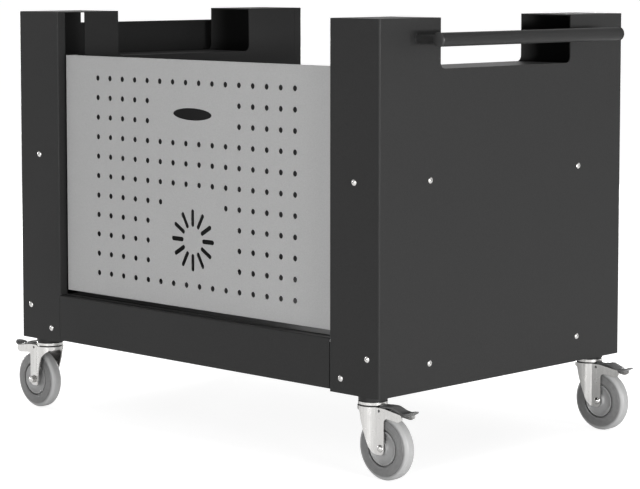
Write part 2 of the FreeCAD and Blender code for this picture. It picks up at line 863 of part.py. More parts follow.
def caster_fork():
    """A stamped hood: walls round the body, trimmed to the cheeks' outlines, under a roof with a crown."""
    outer = fork_plan(fork_outer, fork_body_radius, fork_arm_reach, 0)
    inner = fork_plan(fork_inner_half_width, fork_body_radius - fork_sheet, fork_arm_reach, 0)
    plan = [vec(*p) for p in outer + inner[::-1] + outer[:1]]
    walls = Part.Face(Part.makePolygon(plan)).extrude(vec(0, 0, fork_roof))
    cheeks = cheek_half(wide_front, wide_radii, -1).fuse(cheek_half(narrow_front, narrow_radii, 1))
    lid = fork_plan(fork_outer, fork_body_radius, fork_roof_end, fork_crown_bottom)
    lid = Part.Face(Part.makePolygon([vec(*p) for p in lid + lid[:1]])).extrude(vec(0, 0, fork_sheet))
    neck = rod(neck_radius, (0, 0, fork_crown_bottom), (0, 0, crown_top), tube_sides)
    crown = rod(crown_radius, (0, 0, fork_roof + neck_height), (0, 0, crown_top), tube_sides)
    fork = walls.common(cheeks).fuse(lid).fuse(neck).fuse(crown).removeSplitter().cut(kingpin_bore())
    for radius, x, z in (
        (axle_radius + axle_clearance, trail, wheel_radius),
        (pedal_pin_radius + pedal_pin_clearance, pedal_pivot_x, pedal_pivot_z),
    ):
        fork = fork.cut(bore(radius, (x, -fork_outer - 1, z), (x, fork_outer + 1, z)))
    return fork


def caster_axle():
    """A bolt through both cheeks, with its nut on the far side."""
    z = wheel_radius
    seat = (trail, -fork_outer, z)
    far_seat = (trail, fork_outer, z)
    tip = (trail, fork_outer + axle_head_height, z)
    head = hexagon(axle_head_width, (trail, -fork_outer - axle_head_height, z), seat)
    nut = hexagon(axle_head_width, far_seat, tip).cut(bore(axle_radius, far_seat, tip))
    bolt = rod(axle_radius, seat, tip).fuse(head).fuse(centre_pip(tip, (0, 1, 0)))
    return Part.makeCompound([bolt, nut])


def caster_hub():
    half = fork_inner_half_width - hub_gap
    low = (trail, -half, wheel_radius)
    high = (trail, half, wheel_radius)
    return rod(hub_radius, low, high, tube_sides).cut(bore(axle_radius + axle_clearance, low, high))


def caster_tyre():
    profile = [
        (tyre_core_radius, -tyre_half_width),
        (tyre_side_radius, -tyre_half_width),
        (wheel_radius, -tread_half_width),
        (wheel_radius, tread_half_width),
        (tyre_side_radius, tyre_half_width),
        (tyre_core_radius, tyre_half_width),
    ]
    tyre = turned(profile, wheel_sides, (trail, 0, wheel_radius), (0, 1, 0))
    low = (trail, -tyre_half_width, wheel_radius)
    high = (trail, tyre_half_width, wheel_radius)
    return tyre.cut(rod(hub_radius, low, high, tube_sides))


def tip_points(half_width, tip_x, z, flats):
    """A closed plan outline with a half-round end at tip_x."""
    points = [vec(0, half_width, z), vec(0, -half_width, z)]
    for k in range(flats + 1):
        angle = math.pi * k / flats
        points.append(vec(
            tip_x - half_width + half_width * math.sin(angle),
            -half_width * math.cos(angle),
            z,
        ))
    return points + points[:1]


def caster_pedal():
    """The brake pedal: a bent plate on a cross pin, with a shoe that meets the tread when it is pressed."""
    half = pedal_half_width
    outline = [(x, -half, z) for x, z in pedal_top_line + pedal_bottom_line]
    pedal = Part.Face(rounded_outline(outline, pedal_radii, cast_chords)).extrude(vec(0, 2 * half, 0))
    plan = tip_points(half, pedal_tip_x, 0, pedal_tip_flats)
    pedal = pedal.common(Part.Face(Part.makePolygon(plan)).extrude(vec(0, 0, caster_height)))
    shoe_low = (pedal_shoe_start, -tread_half_width, wheel_radius)
    shoe = box(shoe_low, (pedal_shoe_end, tread_half_width, pedal_shoe_top))
    axle_line = ((trail, -half, wheel_radius), (trail, half, wheel_radius))
    pedal = pedal.fuse(shoe.cut(rod(wheel_radius + pedal_shoe_gap, *axle_line, wheel_sides)))
    rivet = fork_outer + pedal_rivet_gap
    for radius, reach in ((pedal_knuckle_radius, half), (pedal_pin_radius, rivet)):
        start = (pedal_pivot_x, -reach, pedal_pivot_z)
        end = (pedal_pivot_x, reach, pedal_pivot_z)
        pedal = pedal.fuse(rod(radius, start, end, screw_sides))
    for side in (-1, 1):
        start = (pedal_pivot_x, side * rivet, pedal_pivot_z)
        end = (pedal_pivot_x, side * (rivet + pedal_rivet_height), pedal_pivot_z)
        pedal = pedal.fuse(rod(pedal_rivet_radius, start, end))
    return pedal.fuse(centre_pip(end, (0, 1, 0))).removeSplitter()


def kingpins():
    seat = fork_crown_bottom - race_gap
    high = base + channel_sheet + kingpin_nut_height + kingpin_above_nut
    shank = rod(kingpin_radius, (0, 0, seat), (0, 0, high), screw_sides)
    low = (0, 0, seat - kingpin_head_height)
    head = rod(kingpin_head_radius, low, (0, 0, seat)).fuse(centre_pip(low, (0, 0, -1)))
    return all_corners(shank.fuse(head))


def kingpin_nuts():
    low = base + channel_sheet
    nut = hexagon(kingpin_nut_width, (0, 0, low), (0, 0, low + kingpin_nut_height))
    return all_corners(nut.cut(kingpin_bore()))


def export(name, shape):
    moved = shape.copy()
    moved.translate(vec(-middle_x, 0, 0))
    moved.exportStep("parts/" + name + ".step")


def build():
    os.makedirs("parts", exist_ok=True)
    sides = {"left": -1, "right": 1}
    ends = {"front": -1, "rear": 1}
    for side_name, side in sides.items():
        export(side_name + "_outer_shell", outer_shell(side))
        export(side_name + "_inner_panel", inner_panel(side))
        export(side_name + "_base_channel", base_channel(side))
        export("panel_hook_strip_" + side_name, hook_strip(side))
        for end_name, end in ends.items():
            export("wall_stiffener_" + end_name + "_" + side_name, wall_stiffener(side, end))
            export("post_tie_" + end_name + "_" + side_name, post_tie(side, end))
    for end_name, end in ends.items():
        export(end_name + "_rail", rail(end))
        export("handle_end_cap_" + end_name, handle_end_cap(end))
        export("shelf_hinge_bracket_" + end_name, shelf_bracket(end))
    export("floor_shelf", floor_shelf())
    export("handle", handle())
    export("handle_bolts", handle_bolts())
    export("side_wall_screws", side_wall_screws())
    export("post_screws", post_screws())
    export("front_panel", front_panel())
    export("panel_hook_studs", panel_studs())
    export("side_shelf", side_shelf())
    export("shelf_pivot_pins", shelf_pivot_pins())
    export("caster_races", caster_races())
    export("caster_kingpins", kingpins())
    export("caster_kingpin_nuts", kingpin_nuts())
    pieces = {
        "fork": caster_fork(),
        "axle": caster_axle(),
        "hub": caster_hub(),
        "tyre": caster_tyre(),
        "brake_pedal": caster_pedal(),
    }
    for side_name, side in sides.items():
        for end_name, end in ends.items():
            for piece_name, shape in pieces.items():
                name = "caster_" + end_name + "_" + side_name + "_" + piece_name
                export(name, place_caster(shape, side, end))


build()
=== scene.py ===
import json
import math

import bmesh
import bpy
from mathutils import Matrix, Vector


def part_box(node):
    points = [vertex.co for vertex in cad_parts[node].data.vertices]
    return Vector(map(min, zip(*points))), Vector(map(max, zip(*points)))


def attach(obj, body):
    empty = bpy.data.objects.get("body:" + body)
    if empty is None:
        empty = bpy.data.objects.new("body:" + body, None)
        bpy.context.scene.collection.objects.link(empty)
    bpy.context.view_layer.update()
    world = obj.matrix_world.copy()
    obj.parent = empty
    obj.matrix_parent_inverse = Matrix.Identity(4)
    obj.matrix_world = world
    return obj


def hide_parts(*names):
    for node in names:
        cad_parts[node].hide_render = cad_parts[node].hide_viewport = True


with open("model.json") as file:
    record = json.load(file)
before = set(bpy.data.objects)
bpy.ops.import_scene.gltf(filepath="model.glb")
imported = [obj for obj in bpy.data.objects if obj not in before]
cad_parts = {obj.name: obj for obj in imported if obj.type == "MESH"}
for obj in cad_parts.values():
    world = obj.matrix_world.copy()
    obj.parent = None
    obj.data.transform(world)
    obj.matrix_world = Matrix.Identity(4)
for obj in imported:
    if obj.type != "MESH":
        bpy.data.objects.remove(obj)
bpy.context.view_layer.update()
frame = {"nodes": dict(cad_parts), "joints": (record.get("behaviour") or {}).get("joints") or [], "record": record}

ENDS = ("front", "rear")
SIDES = ("left", "right")
CORNERS = [f"caster_{end}_{side}" for side in SIDES for end in ENDS]

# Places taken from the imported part, in metres
joint_places = {joint["name"]: Vector(joint["pos_m"]) for joint in frame["joints"] if "pos_m" in joint}
panel_low, panel_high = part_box("front_panel")
handle_low, handle_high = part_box("handle")
right_low, right_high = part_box("right_outer_shell")
left_low, left_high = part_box("left_outer_shell")
race_low, race_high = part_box("caster_races")
middle_x = (panel_low.x + panel_high.x) / 2

# Front panel
SHEET = 0.0015
PANEL_BEND = 0.0025
PANEL_BEND_STEPS = 6
PANEL_RIM = 0.012
PANEL_RIM_GAP = 0.004
PANEL_RIM_SETBACK = 0.0002
HOLE_RADIUS = 0.0055
HOLE_SIDES = 20
HOLE_PITCH_X = 0.037
HOLE_PITCH_Z = 0.039
HOLE_COLUMNS = 16
HOLE_ROWS = 11
FIRST_ROW = 0.043
MISSING_COLUMNS = {1: 6, 2: 6, 6: 4, 7: 6, 8: 6, 9: 6}
GRIP_HALF_LENGTH = 0.0545
GRIP_HALF_HEIGHT = 0.01175
GRIP_DROP = 0.103
GRIP_SIDES = 64
VENT_DROP = 0.345
VENT_SLOTS = 12
VENT_INNER = 0.026
VENT_OUTER = 0.060
VENT_SLOT_WIDTH = 0.009
VENT_END_STEPS = 12

# Screws
SCREW_RADIUS = 0.006
SCREW_HEIGHT = 0.0026
SCREW_SIDES = 28
POCKET_RADIUS = 0.0019
POCKET_DEPTH = 0.0012
POCKET_TAPER = 0.8
DOME_START = 0.25
DOME_STEPS = 7
SIDE_SCREW_INSET = 0.134
SIDE_SCREW_HEIGHTS = (0.049, 0.381)
# Inset from the wall's outer face and height over the wall's foot
POST_SCREWS = ((0.061, 0.382), (0.029, 0.069), (0.094, 0.027))

# Handle, with its profiles as (radius, height) pairs
TUBE_RADIUS = 0.0125
TUBE_SIDES = 72
STANDOFF_RADIUS = 0.008
STANDOFF_INSET = 0.011
STANDOFF_SIDES = 48
STANDOFF_FOOT = ((0, 0), (0.0094, 0), (0.0090, 0.0009), (0.0082, 0.0016), (STANDOFF_RADIUS, 0.003))
STANDOFF_HEAD = ((STANDOFF_RADIUS, 0), (0.0086, 0.002), (0.0096, 0.004), (0, 0.004))
CAP_RADIUS = 0.0133
CAP_HEIGHT = 0.003
CAP_PLUG_DEPTH = 0.004
CAP_PLUG_PLAY = 0.0002
CAP_CENTRE = 0.004
# How far the cap's edge is drawn in, at each share of its height
CAP_EDGE = ((0, 0.55), (0.0006, 0.85), (0.0018, 1.0))

# Bosses over the casters
BOSS_RADIUS = 0.0265
BOSS_BORE = 0.0062
BOSS_EDGE = 0.0008
BOSS_SIDES = 64

# Casters, in their own frame: the king pin at x = y = 0, the wheel trailing towards +x
AXLE_X = 0.034
AXLE_Z = 0.059
PIN_X = 0.031
PIN_Z = 0.126
PIN_HOLE_RADIUS = 0.0027
PIN_HOLE_SIDES = 20

# Fork: a bent sheet with a round body at the nose and two flat cheeks behind the crease
BODY_RADIUS = 0.028
CHEEK_OUTER = 0.018
FORK_SHEET = 0.0025
ROOF_Z = 0.1315
ROOF_END = 0.024
SKIRT_Z = 0.125
CREASE_X = math.sqrt(BODY_RADIUS ** 2 - CHEEK_OUTER ** 2)
BODY_ARC = BODY_RADIUS * math.acos(-CREASE_X / BODY_RADIUS)
BODY_CUTS = 24
ARC_STEPS = 7
RUN_STEP = 0.0015
# Corners of the cheeks' free edges as (x, z, bend radius)
WIDE_FRONT = ((-0.009, 0.124, 0.005), (-0.0035, 0.104, 0.020), (0.012, 0.060, 0.014),
              (0.020, 0.047, 0.008))
NARROW_FRONT = ((-0.020, 0.124, 0.006), (-0.004, 0.110, 0.020), (0.009, 0.070, 0.030),
                (0.018, 0.047, 0.006))
CHEEK_FOOT = ((0.0425, 0.0465, 0.009), (0.0425, 0.115, 0.008))
CHEEK_ARM = ((0.077, 0.111, 0.009), (0.087, 0.116, 0.004), (0.084, 0.125, 0.004),
             (0.042, ROOF_Z, 0.012))
SHEARED_EDGE = 0.0003
SHEARED_EDGE_STEPS = 2
DRAWN_EDGE = 0.0018
DRAWN_EDGE_STEPS = 4

# Swivel bearing, a dark ring of painted shade in its gap, and axle cups, the cups with their profiles as (radius,
# height) pairs
NECK_RADIUS = 0.022
NECK_TOP = 0.1335
CROWN_RADIUS = 0.0268
CROWN_TOP = 0.1397
CROWN_BORE = 0.007
CROWN_EDGE = 0.0007
CROWN_LAP = 0.0005
CROWN_SIDES = 96
# Size of the dark ring of painted shade in the bearing's gap
SHADE_RING_RADIUS = 0.0245
SHADE_RING_TAPER = 0.0004
SHADE_RING_LAP = 0.001
CUP_RADIUS = 0.0072
CUP_DEPTH = 0.002
CUP_SIDES = 40
AXLE_BORE = 0.0042
CUP_FACE = ((CUP_RADIUS, 0), (0.0066, -0.0003), (0.0060, -0.0018), (0.0056, -CUP_DEPTH),
            (AXLE_BORE, -CUP_DEPTH))
CUP_BACK = ((AXLE_BORE, -CUP_DEPTH), (0.0060, -CUP_DEPTH), (CUP_RADIUS, 0))

# Axle bolt and flanged nut, with their profiles as (radius, height) pairs
BOLT_HEAD_RADIUS = 0.0066
BOLT_HEAD_HEIGHT = 0.0056
BOLT_HEAD_STEPS = 10
BOLT_SIDES = 48
SHANK_RADIUS = 0.004
SHANK_SIDES = 24
BOLT_END_HEIGHT = 0.0014
BOLT_END_SIDES = 32
NUT_FLANGE = ((0, 0), (0.0046, 0), (0.0046, 0.0018), (0.0084, 0.0018), (0.0084, 0.0032), (0, 0.0032))
NUT_SIDES = 6
NUT = ((0, 0), (0.0075, 0), (0.0075, 0.0044), (0.0066, 0.0053), (0, 0.0053))

# Wheel: half sections from the inside out, as (radius, distance from the wheel's middle plane)
WHEEL_SIDES = 120
WHEEL_RADIUS = 0.059
# Radii over which the tyre's painted light on the tread fades in
TREAD_LIGHT_START = 0.0505
TREAD_LIGHT_FULL = 0.05475
TYRE_SIDE = ((0.0320, 0.0078), (0.0339, 0.0080), (0.0342, 0.0128), (0.0350, 0.0135), (0.0392, 0.0135),
             (0.0397, 0.0132), (0.0402, 0.0130), (0.0490, 0.0131), (0.0496, 0.0129), (0.0499, 0.0120),
             (0.0505, 0.0118), (0.0509, 0.0121))
# The tyre's shoulder has a bend radius as third value
TYRE_SHOULDER = ((0.0509, 0.0121, 0), (0.0550, 0.0114, 0.006), (WHEEL_RADIUS, 0.0072, 0.006),
                 (WHEEL_RADIUS, 0, 0))
HUB_SIDE = ((0.0043, 0.0133), (0.0098, 0.0133), (0.0106, 0.0128), (0.0122, 0.0104), (0.0142, 0.0094),
            (0.0180, 0.0090), (0.0225, 0.0092), (0.0262, 0.0102), (0.0288, 0.0122), (0.0300, 0.0129),
            (0.0310, 0.0127), (0.0316, 0.0118), (0.0320, 0.0078))

# Brake pedal: its upper and lower lines as (x, z, bend radius)
PEDAL_START = 0.0285
PEDAL_TIP = 0.106
PEDAL_HALF_WIDTH = 0.013
PEDAL_LAST_HALF_WIDTH = 0.0008
PEDAL_TOP = ((PEDAL_START, 0.1352, 0), (0.054, 0.1362, 0.016), (0.080, 0.1270, 0.016),
             (PEDAL_TIP, 0.1322, 0))
PEDAL_BOTTOM = ((PEDAL_START, 0.1240, 0), (0.0345, 0.1240, 0.002), (0.0385, 0.1312, 0.002),
                (0.058, 0.1308, 0.009), (0.084, 0.1215, 0.009), (0.091, 0.1224, 0.009),
                (PEDAL_TIP, 0.1300, 0))
PEDAL_LINE_STEP = 0.001
PEDAL_STEPS = 72
PEDAL_TIP_STEPS = 14
PEDAL_SIDES = 28
PEDAL_SIDE_POWER = 0.35
PEDAL_TOP_POWER = 0.6
RIDGES_START = 0.078
RIDGES_STOP = 0.098
RIDGE_CREST = 0.080
RIDGE_PITCH = 0.0048
RIDGE_HEIGHT = 0.00045
PIN_RADIUS = 0.0024
PIN_PLAY = 0.0004
PIN_SIDES = 24
EYE_RADIUS = 0.004
SHOE_SIZE = (0.012, 0.017, 0.010)
SHOE_PLACE = (0.058, 0, 0.1275)
SHOE_EDGE = 0.0012
SHOE_EDGE_STEPS = 3

# Angles in degrees: edges are drawn sharp from the first two on, and the fork's are rounded from the third
SHARP_FROM = 35.0
CASTER_SHARP_FROM = 28.0
FORK_ROUNDED_FROM = 55.0

# Tolerances, in metres, and limits on the parts of a unit normal
MERGE = 1e-6
SEAM_MERGE = 2e-6
CUT_SNAP = 1e-7
ROOF_SNAP = 1e-5
SQUARE = 0.9999
LEVEL = 0.9
UPRIGHT = 0.1

# The part of a noise's range that its values mostly keep to
NOISE_LOW = 0.3
NOISE_HIGH = 0.7

# Stage: the floor's colour for the object, and its colour and glow for the camera and in reflections
FLOOR_SIZE = 160
FLOOR_DROP = 0.0005
FLOOR_COLOUR = 0.8
FLOOR_SEEN_COLOUR = 0.42
FLOOR_SEEN_GLOW = 0.98
# Painted shadow: the glow seen by the camera drops to this where the floor is fully occluded
FLOOR_SHADED_GLOW = 0.74
FLOOR_MIRRORED_GLOW = 0.72
SHADOW_REACH = 1.2
SHADOW_SAMPLES = 8
AMBIENT = 0.22
# The room's upper part is dim, from the first height of the view direction to the second
CEILING = 0.12
CEILING_START = 0.3
CEILING_STOP = 0.7
# Name, place, aim, width, height and power of each lamp
LAMPS = (
    ("right", (4.6, -0.5, 0.64), (0.45, 0, 0.64), 2.2, 0.34, 184),
    ("front", (1.4, -4.8, 0.75), (0, -0.35, 0.75), 2.4, 0.45, 112),
    ("left", (-4.6, 0.5, 0.75), (-0.45, 0, 0.75), 2.2, 0.45, 200),
    ("rear", (-1.9, 4.8, 0.75), (0, 0.35, 0.75), 2.2, 0.45, 130),
    ("top", (0.3, -0.3, 4.2), (0.05, -0.05, 0.8), 1.8, 1.8, 70),
)

# Camera, fitted to the photograph
CAMERA_PLACE = (3.1989, -3.2533, 0.9107)
CAMERA_YAW = 0.7752
CAMERA_PITCH = 0.0877
FOCAL_PIXELS = 2275.0
FRAME_WIDTH_PIXELS = 640
SENSOR_WIDTH = 36.0
CAMERA_SHIFT_Y = -0.12


# Node helpers
class Graph:
    """Short calls for the nodes of a material or a world. Coordinates are the row frame's, in metres."""

    def __init__(self, owner):
        owner.use_nodes = True
        self.owner = owner
        self.tree = owner.node_tree

    def feed(self, socket, value):
        """Links the socket to another node's output, or gives it a plain value."""
        if isinstance(value, bpy.types.NodeSocket):
            self.tree.links.new(value, socket)
        else:
            socket.default_value = value

    def node(self, kind, inputs=(), **settings):
        made = self.tree.nodes.new(kind)
        for key, value in settings.items():
            setattr(made, key, value)
        for key, value in dict(inputs).items():
            self.feed(made.inputs[key], value)
        return made

    def noise(self, scale, detail, stretch=(1, 1, 1)):
        coordinates = self.node("ShaderNodeTexCoord").outputs["Object"]
        place = self.node("ShaderNodeMapping", {"Vector": coordinates, "Scale": stretch}).outputs["Vector"]
        inputs = {"Vector": place, "Scale": scale, "Detail": detail}
        return self.node("ShaderNodeTexNoise", inputs).outputs["Fac"]

    def spread(self, value, low, high, start=0.0, stop=1.0):
        """A value that runs from low to high as the given one runs from start to stop."""
        inputs = {"Value": value, "From Min": start, "From Max": stop, "To Min": low, "To Max": high}
        return self.node("ShaderNodeMapRange", inputs).outputs["Result"]

    def noisy(self, noise, low=0.0, high=1.0):
        """A noise spread over low to high."""
        return self.spread(noise, low, high, NOISE_LOW, NOISE_HIGH)

    def combined(self, operation, first, second):
        return self.node("ShaderNodeMath", {0: first, 1: second}, operation=operation).outputs[0]

    def seen_rays(self):
        """What marks rays from the camera, and those that a reflection or a clear piece sends on."""
        path = self.node("ShaderNodeLightPath").outputs
        mirrored = self.combined("MAXIMUM", path["Is Glossy Ray"], path["Is Transmission Ray"])
        return path["Is Camera Ray"], mirrored

    def tinted(self, factor, first, second):
        inputs = {"Factor": factor, "A": first, "B": second}
        return self.node("ShaderNodeMix", inputs, data_type="RGBA").outputs["Result"]

    def bump(self, height, distance, strength, below=None):
        inputs = {"Height": height, "Distance": distance, "Strength": strength}
        if below is not None:
            inputs["Normal"] = below
        return self.node("ShaderNodeBump", inputs).outputs["Normal"]

    def finish(self, **sockets):
        """Feeds the shader's sockets and returns the material."""
        for key, value in sockets.items():
            self.feed(self.tree.nodes["Principled BSDF"].inputs[key.replace("_", " ")], value)
        return self.owner


def grey(value):
    return (value, value, value, 1)


# Materials
def powder_coat(name, light, dark, roughness, specular):
    """Satin powder coat: orange peel, a fine grain and faint clouds of gloss."""
    g = Graph(bpy.data.materials.new(name))
    grain = g.noise(scale=700, detail=3)
    clouds = g.noise(scale=5, detail=4)
    colour = g.tinted(g.noisy(grain), dark, light)
    peel = g.bump(g.noise(scale=260, detail=2), distance=0.0003, strength=0.35)
    normal = g.bump(grain, distance=0.0002, strength=0.5, below=peel)
    rough = g.noisy(clouds, *roughness)
    return g.finish(Base_Color=colour, Roughness=rough, Normal=normal, Specular_IOR_Level=specular)


def bright_zinc(name, light, dark, roughness):
    """Zinc-plated steel: faint upright drawing lines under a plating of uneven gloss."""
    g = Graph(bpy.data.materials.new(name))
    lines = g.noise(scale=420, detail=3, stretch=(1, 1, 0.05))
    clouds = g.noise(scale=90, detail=3)
    colour = g.tinted(g.noisy(lines), dark, light)
    rough = g.noisy(clouds, *roughness)
    normal = g.bump(lines, distance=0.00003, strength=0.2)
    return g.finish(Base_Color=colour, Metallic=1.0, Roughness=rough, Normal=normal)


def rubber(name, light, dark, tread, roughness):
    """Grey wheel rubber: satin from the mould and finely scuffed, with its tread painted paler as painted light.
    """
    g = Graph(bpy.data.materials.new(name))
    dust = g.noise(scale=140, detail=5)
    side = g.tinted(g.noisy(dust), dark, light)
    # Painted light: the tread attribute turns the colour to the paler tread grey
    painted_tread_light = g.node("ShaderNodeAttribute", attribute_name="tread").outputs["Fac"]
    colour = g.tinted(painted_tread_light, side, tread)
    normal = g.bump(g.noise(scale=1200, detail=2), distance=0.0001, strength=0.3)
    rough = g.noisy(dust, *roughness)
    return g.finish(Base_Color=colour, Roughness=rough, Normal=normal)


def moulded_plastic(name, light, dark, roughness, specular=0.5):
    """Moulded plastic with a fine spark-eroded grain."""
    g = Graph(bpy.data.materials.new(name))
    grain = g.noise(scale=1500, detail=2)
    wear = g.noise(scale=60, detail=4)
    colour = g.tinted(g.noisy(wear), dark, light)
    normal = g.bump(grain, distance=0.0001, strength=0.4)
    rough = g.noisy(wear, *roughness)
    return g.finish(Base_Color=colour, Roughness=rough, Normal=normal, Specular_IOR_Level=specular)


DARK_COAT = powder_coat("dark_powder_coat", grey(0.025), grey(0.019), (0.40, 0.49), 0.12)
LIGHT_COAT = powder_coat("light_powder_coat", grey(0.405), grey(0.35), (0.51, 0.60), 0.4)
ZINC = bright_zinc("bright_zinc", (0.56, 0.553, 0.542, 1), (0.49, 0.484, 0.474, 1), (0.22, 0.28))
# The tyre's third grey is painted light on the tread
TYRE = rubber("grey_tyre", grey(0.166), grey(0.134), grey(0.36), (0.40, 0.54))
HUB = moulded_plastic("grey_plastic", grey(0.305), grey(0.265), (0.37, 0.50))
PEDAL = moulded_plastic("dark_plastic", grey(0.125), grey(0.092), (0.31, 0.44), 0.3)
CAP = moulded_plastic("black_plastic", grey(0.014), grey(0.009), (0.45, 0.58))

SLOT_MATERIALS = {
    "dark_powder_coat": DARK_COAT,
    "light_powder_coat": LIGHT_COAT,
    "bright_zinc": ZINC,
    "grey_tyre": TYRE,
    "grey_plastic": HUB,
    "dark_plastic": PEDAL,
    "black_plastic": CAP,
}


def dress_cad_nodes():
    slots = {entry["node"]: entry["material_slot"] for entry in frame["record"]["subparts"]}
    for name, node in frame["nodes"].items():
        material = SLOT_MATERIALS[slots[name]]
        for index in range(len(node.material_slots)):
            node.material_slots[index].material = material


# Mesh helpers
def add_piece(name, mesh, material, body, nodes=()):
    """Links a finished mesh, rides it on its body and hides the nodes that it stands for."""
    piece = bpy.data.objects.new(name, mesh)
    bpy.context.scene.collection.objects.link(piece)
    piece.data.materials.clear()
    piece.data.materials.append(material)
    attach(piece, body)
    if nodes:
        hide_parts(*nodes)


def mesh_from(bm, name, sharp_from=SHARP_FROM, flat_normals=False):
    """A smooth mesh with edges sharp from the angle on. Faces square to an axis may stay flat."""
    bmesh.ops.remove_doubles(bm, verts=bm.verts, dist=MERGE)
    bmesh.ops.recalc_face_normals(bm, faces=bm.faces)
    for face in bm.faces:
        square = max(abs(value) for value in face.normal) > SQUARE
        face.smooth = not (flat_normals and square)
    for edge in bm.edges:
        if len(edge.link_faces) == 2:
            edge.smooth = edge.calc_face_angle(0.0) < math.radians(sharp_from)
    mesh = bpy.data.meshes.new(name)
    bm.to_mesh(mesh)
    bm.free()
    return mesh


def settled_mesh(holder):
    """The mesh that an object's curve or modifiers come to. The object itself goes."""
    bpy.context.scene.collection.objects.link(holder)
    bpy.context.view_layer.update()
    mesh = bpy.data.meshes.new_from_object(holder.evaluated_get(bpy.context.evaluated_depsgraph_get()))
    bpy.data.objects.remove(holder)
    return mesh


def filled_sheet(name, outlines, thickness=0.0):
    """A flat mesh filled between closed outlines, the outer one first."""
    curve = bpy.data.curves.new(name, "CURVE")
    curve.dimensions = "2D"
    curve.fill_mode = "BOTH"
    curve.extrude = thickness / 2
    for outline in outlines:
        spline = curve.splines.new("POLY")
        spline.points.add(len(outline) - 1)
        for point, (x, y) in zip(spline.points, outline):
            point.co = (x, y, 0, 1)
        spline.use_cyclic_u = True
    return settled_mesh(bpy.data.objects.new(name, curve))


def turning(start, direction):
    """The matrix that lays a turned piece's axis along direction, from start."""
    turn = Vector((0, 0, 1)).rotation_difference(Vector(direction)).to_matrix().to_4x4()
    return Matrix.Translation(start) @ turn


def skin(bm, rings):
    """Joins rings of corners with faces. A ring of one corner is a pole."""
    count = max(len(ring) for ring in rings)
    for low, high in zip(rings, rings[1:]):
        for k in range(count):
            following = (k + 1) % count
            corners = [low[k % len(low)], low[following % len(low)]]
            corners += [high[following % len(high)], high[k % len(high)]]
            corners = list(dict.fromkeys(corners))
            if len(corners) > 2:
                bm.faces.new(corners)


def lathe(bm, profile, start, direction, sides):
    """Adds a turned shape from its profile of (radius, height) pairs, open or closed on itself."""
    place = turning(start, direction)
    rings = []
    for radius, height in profile:
        ring = []
        for k in range(sides if radius else 1):
            angle = 2 * math.pi * k / sides
            spot = Vector((radius * math.cos(angle), radius * math.sin(angle), height))
            ring.append(bm.verts.new(place @ spot))
        rings.append(ring)
    skin(bm, rings)


def rod(radius, start, stop):
    """The profile of a plain round rod."""
    return [(0, start), (radius, start), (radius, stop), (0, stop)]


def add_block(bm, size, centre):
    """Adds a square block and returns its corners."""
    corners = bmesh.ops.create_cube(bm, size=1.0)["verts"]
    bmesh.ops.scale(bm, vec=size, verts=corners)
    bmesh.ops.translate(bm, vec=centre, verts=corners)
    return corners


def round_edges(bm, edges, width, steps):
    bmesh.ops.bevel(bm, geom=edges, offset=width, segments=steps, profile=0.5, affect="EDGES",
                    clamp_overlap=True)


# Front panel with round holes
def shown_columns(row):
    missing = MISSING_COLUMNS.get(row, 0)
    low = (HOLE_COLUMNS - missing) / 2
    return [column for column in range(HOLE_COLUMNS) if not low <= column < low + missing]


def ellipse(centre, radius_x, radius_y, steps):
    angles = [2 * math.pi * k / steps for k in range(steps)]
    return [(centre[0] + radius_x * math.cos(a), centre[1] + radius_y * math.sin(a)) for a in angles]


def vent_slot(centre, turn):
    """A radial slot with round ends."""
    radius = VENT_SLOT_WIDTH / 2
    points = []
    for middle, start in ((VENT_OUTER - radius, 0.0), (VENT_INNER + radius, math.pi)):
        for k in range(VENT_END_STEPS + 1):
            angle = start + math.pi * k / VENT_END_STEPS
            points.append((radius * math.cos(angle), middle + radius * math.sin(angle)))
    cosine = math.cos(turn)
    sine = math.sin(turn)
    return [(centre[0] + x * cosine - y * sine, centre[1] + x * sine + y * cosine) for x, y in points]


def perforated_face():
    """The flat face with its round holes, the finger slot and the round vent."""
    half = (panel_high.x - panel_low.x) / 2 - PANEL_BEND
    top = panel_high.z
    low = panel_low.z
    outlines = [[(-half, low), (half, low), (half, top), (-half, top)]]
    for row in range(HOLE_ROWS):
        z = top - FIRST_ROW - row * HOLE_PITCH_Z
        for column in shown_columns(row):
            x = (column - (HOLE_COLUMNS - 1) / 2) * HOLE_PITCH_X
            outlines.append(ellipse((x, z), HOLE_RADIUS, HOLE_RADIUS, HOLE_SIDES))
    outlines.append(ellipse((0, top - GRIP_DROP), GRIP_HALF_LENGTH, GRIP_HALF_HEIGHT, GRIP_SIDES))
    for k in range(VENT_SLOTS):
        outlines.append(vent_slot((0, top - VENT_DROP), 2 * math.pi * k / VENT_SLOTS))
    mesh = filled_sheet("panel_face", outlines, SHEET)
    upright = Matrix.Rotation(math.pi / 2, 4, "X")
    mesh.transform(Matrix.Translation((middle_x, panel_low.y + SHEET / 2, 0)) @ upright)
    return mesh


def side_section():
    """The right side rim seen from above: out round the bend, along the rim and back inside."""
    centre_x = (panel_high.x - panel_low.x) / 2 - PANEL_BEND
    centre_y = panel_low.y + PANEL_BEND
    faces = []
    for radius in (PANEL_BEND, PANEL_BEND - SHEET):
        face = []
        for k in range(PANEL_BEND_STEPS + 1):
            angle = -math.pi / 2 + (math.pi / 2) * k / PANEL_BEND_STEPS
            face.append((centre_x + radius * math.cos(angle), centre_y + radius * math.sin(angle)))
        faces.append(face + [(centre_x + radius, panel_high.y)])
    outer, inner = faces
    return outer + inner[::-1]


def folded_side(bm, side):
    """The side rim with its bend, drawn up the panel."""
    rings = []
    for z in (panel_low.z, panel_high.z):
        rings.append([bm.verts.new((middle_x + side * x, y, z)) for x, y in side_section()])
    skin(bm, rings)
    for ring in rings:
        bm.faces.new(ring)


